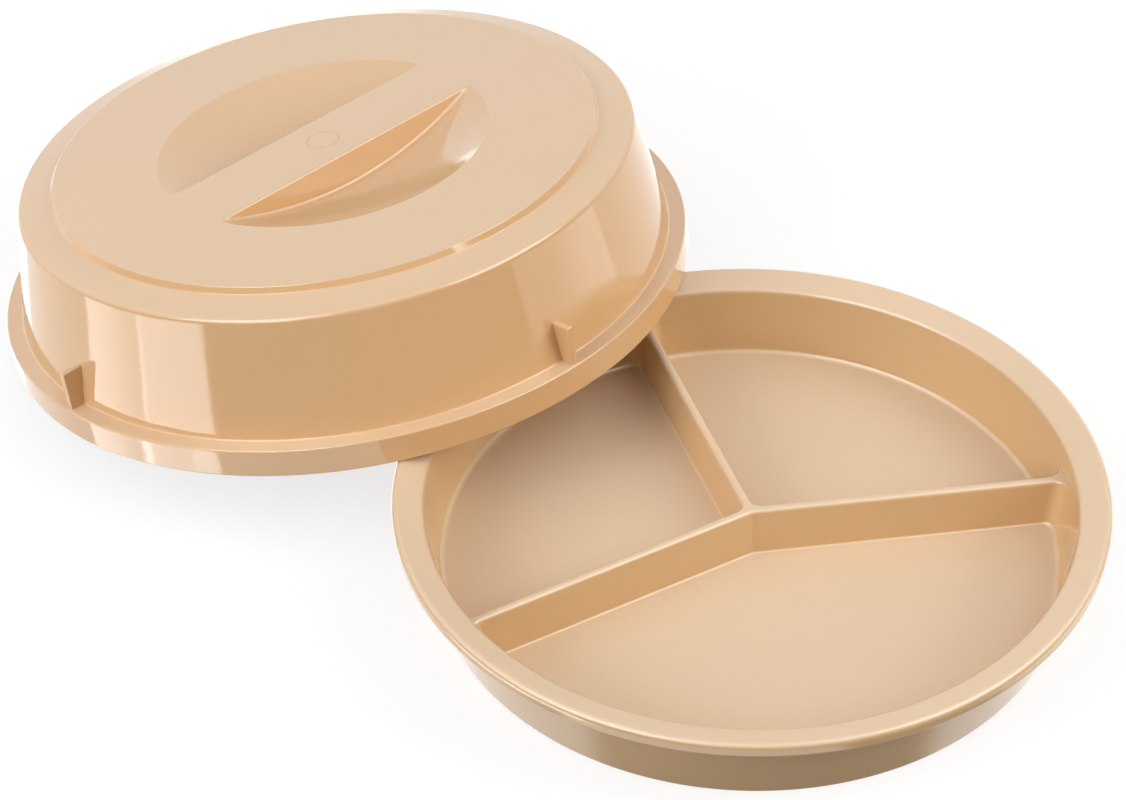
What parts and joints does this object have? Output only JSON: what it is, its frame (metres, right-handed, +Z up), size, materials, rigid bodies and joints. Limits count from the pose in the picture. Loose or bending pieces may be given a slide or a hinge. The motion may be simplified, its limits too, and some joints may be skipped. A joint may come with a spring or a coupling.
{
  "type": "compartment dish with lid",
  "caption": "Round moulded dish whose floor is split into food compartments by a Y-shaped partition, with a high loose lid that has a sunk finger grip and leans on the dish's rim.",
  "frame": {"origin": "centre of the dish's foot ring, on the table it stands on", "axes": "+X from the lid's side through the dish's axis, +Z up, along the dish's axis"},
  "size_m": [0.4283, 0.2438, 0.0879],
  "materials": {
    "dish_plastic": "glossy beige, moulded",
    "lid_plastic": "glossy beige, moulded"
  },
  "bodies": {
    "dish": {"dish": "dish_plastic"},
    "lid": {"lid": "lid_plastic"}
  },
  "joints": [
    {"name": "lid_lift", "type": "slide", "parent": "dish", "child": "lid", "axis": [0, 0, 1], "range_m": [0, 0.15]}
  ]
}
